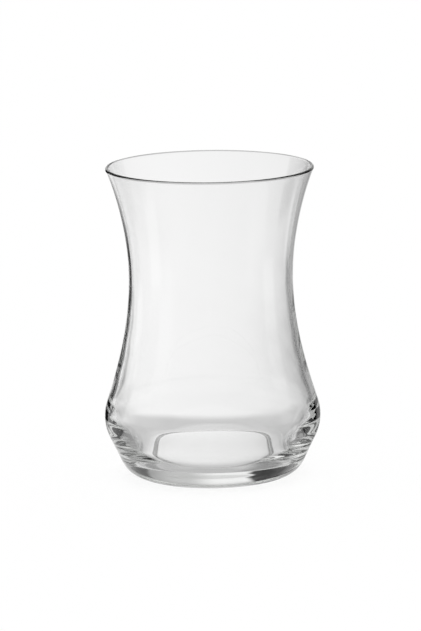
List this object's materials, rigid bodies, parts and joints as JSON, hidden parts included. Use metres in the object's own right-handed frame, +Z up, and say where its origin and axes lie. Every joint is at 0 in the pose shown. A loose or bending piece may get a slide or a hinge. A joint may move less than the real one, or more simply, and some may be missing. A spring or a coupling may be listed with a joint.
{
  "type": "tea glass",
  "caption": "Clear waisted tea glass with a flared lip, a round belly, a rounded inside over a thick base and a narrow flat ring underneath, for serving and drinking hot tea.",
  "frame": {"origin": "middle of the flat ring underneath, on the table", "axes": "+Z up along the axis of revolution; X and Y lie on the table and are alike, because the glass is round"},
  "size_m": [0.0622, 0.0622, 0.09],
  "materials": {
    "clear_glass": "fire polished, smooth and clear"
  },
  "bodies": {
    "root": {"tea_glass": "clear_glass"}
  },
  "joints": []
}
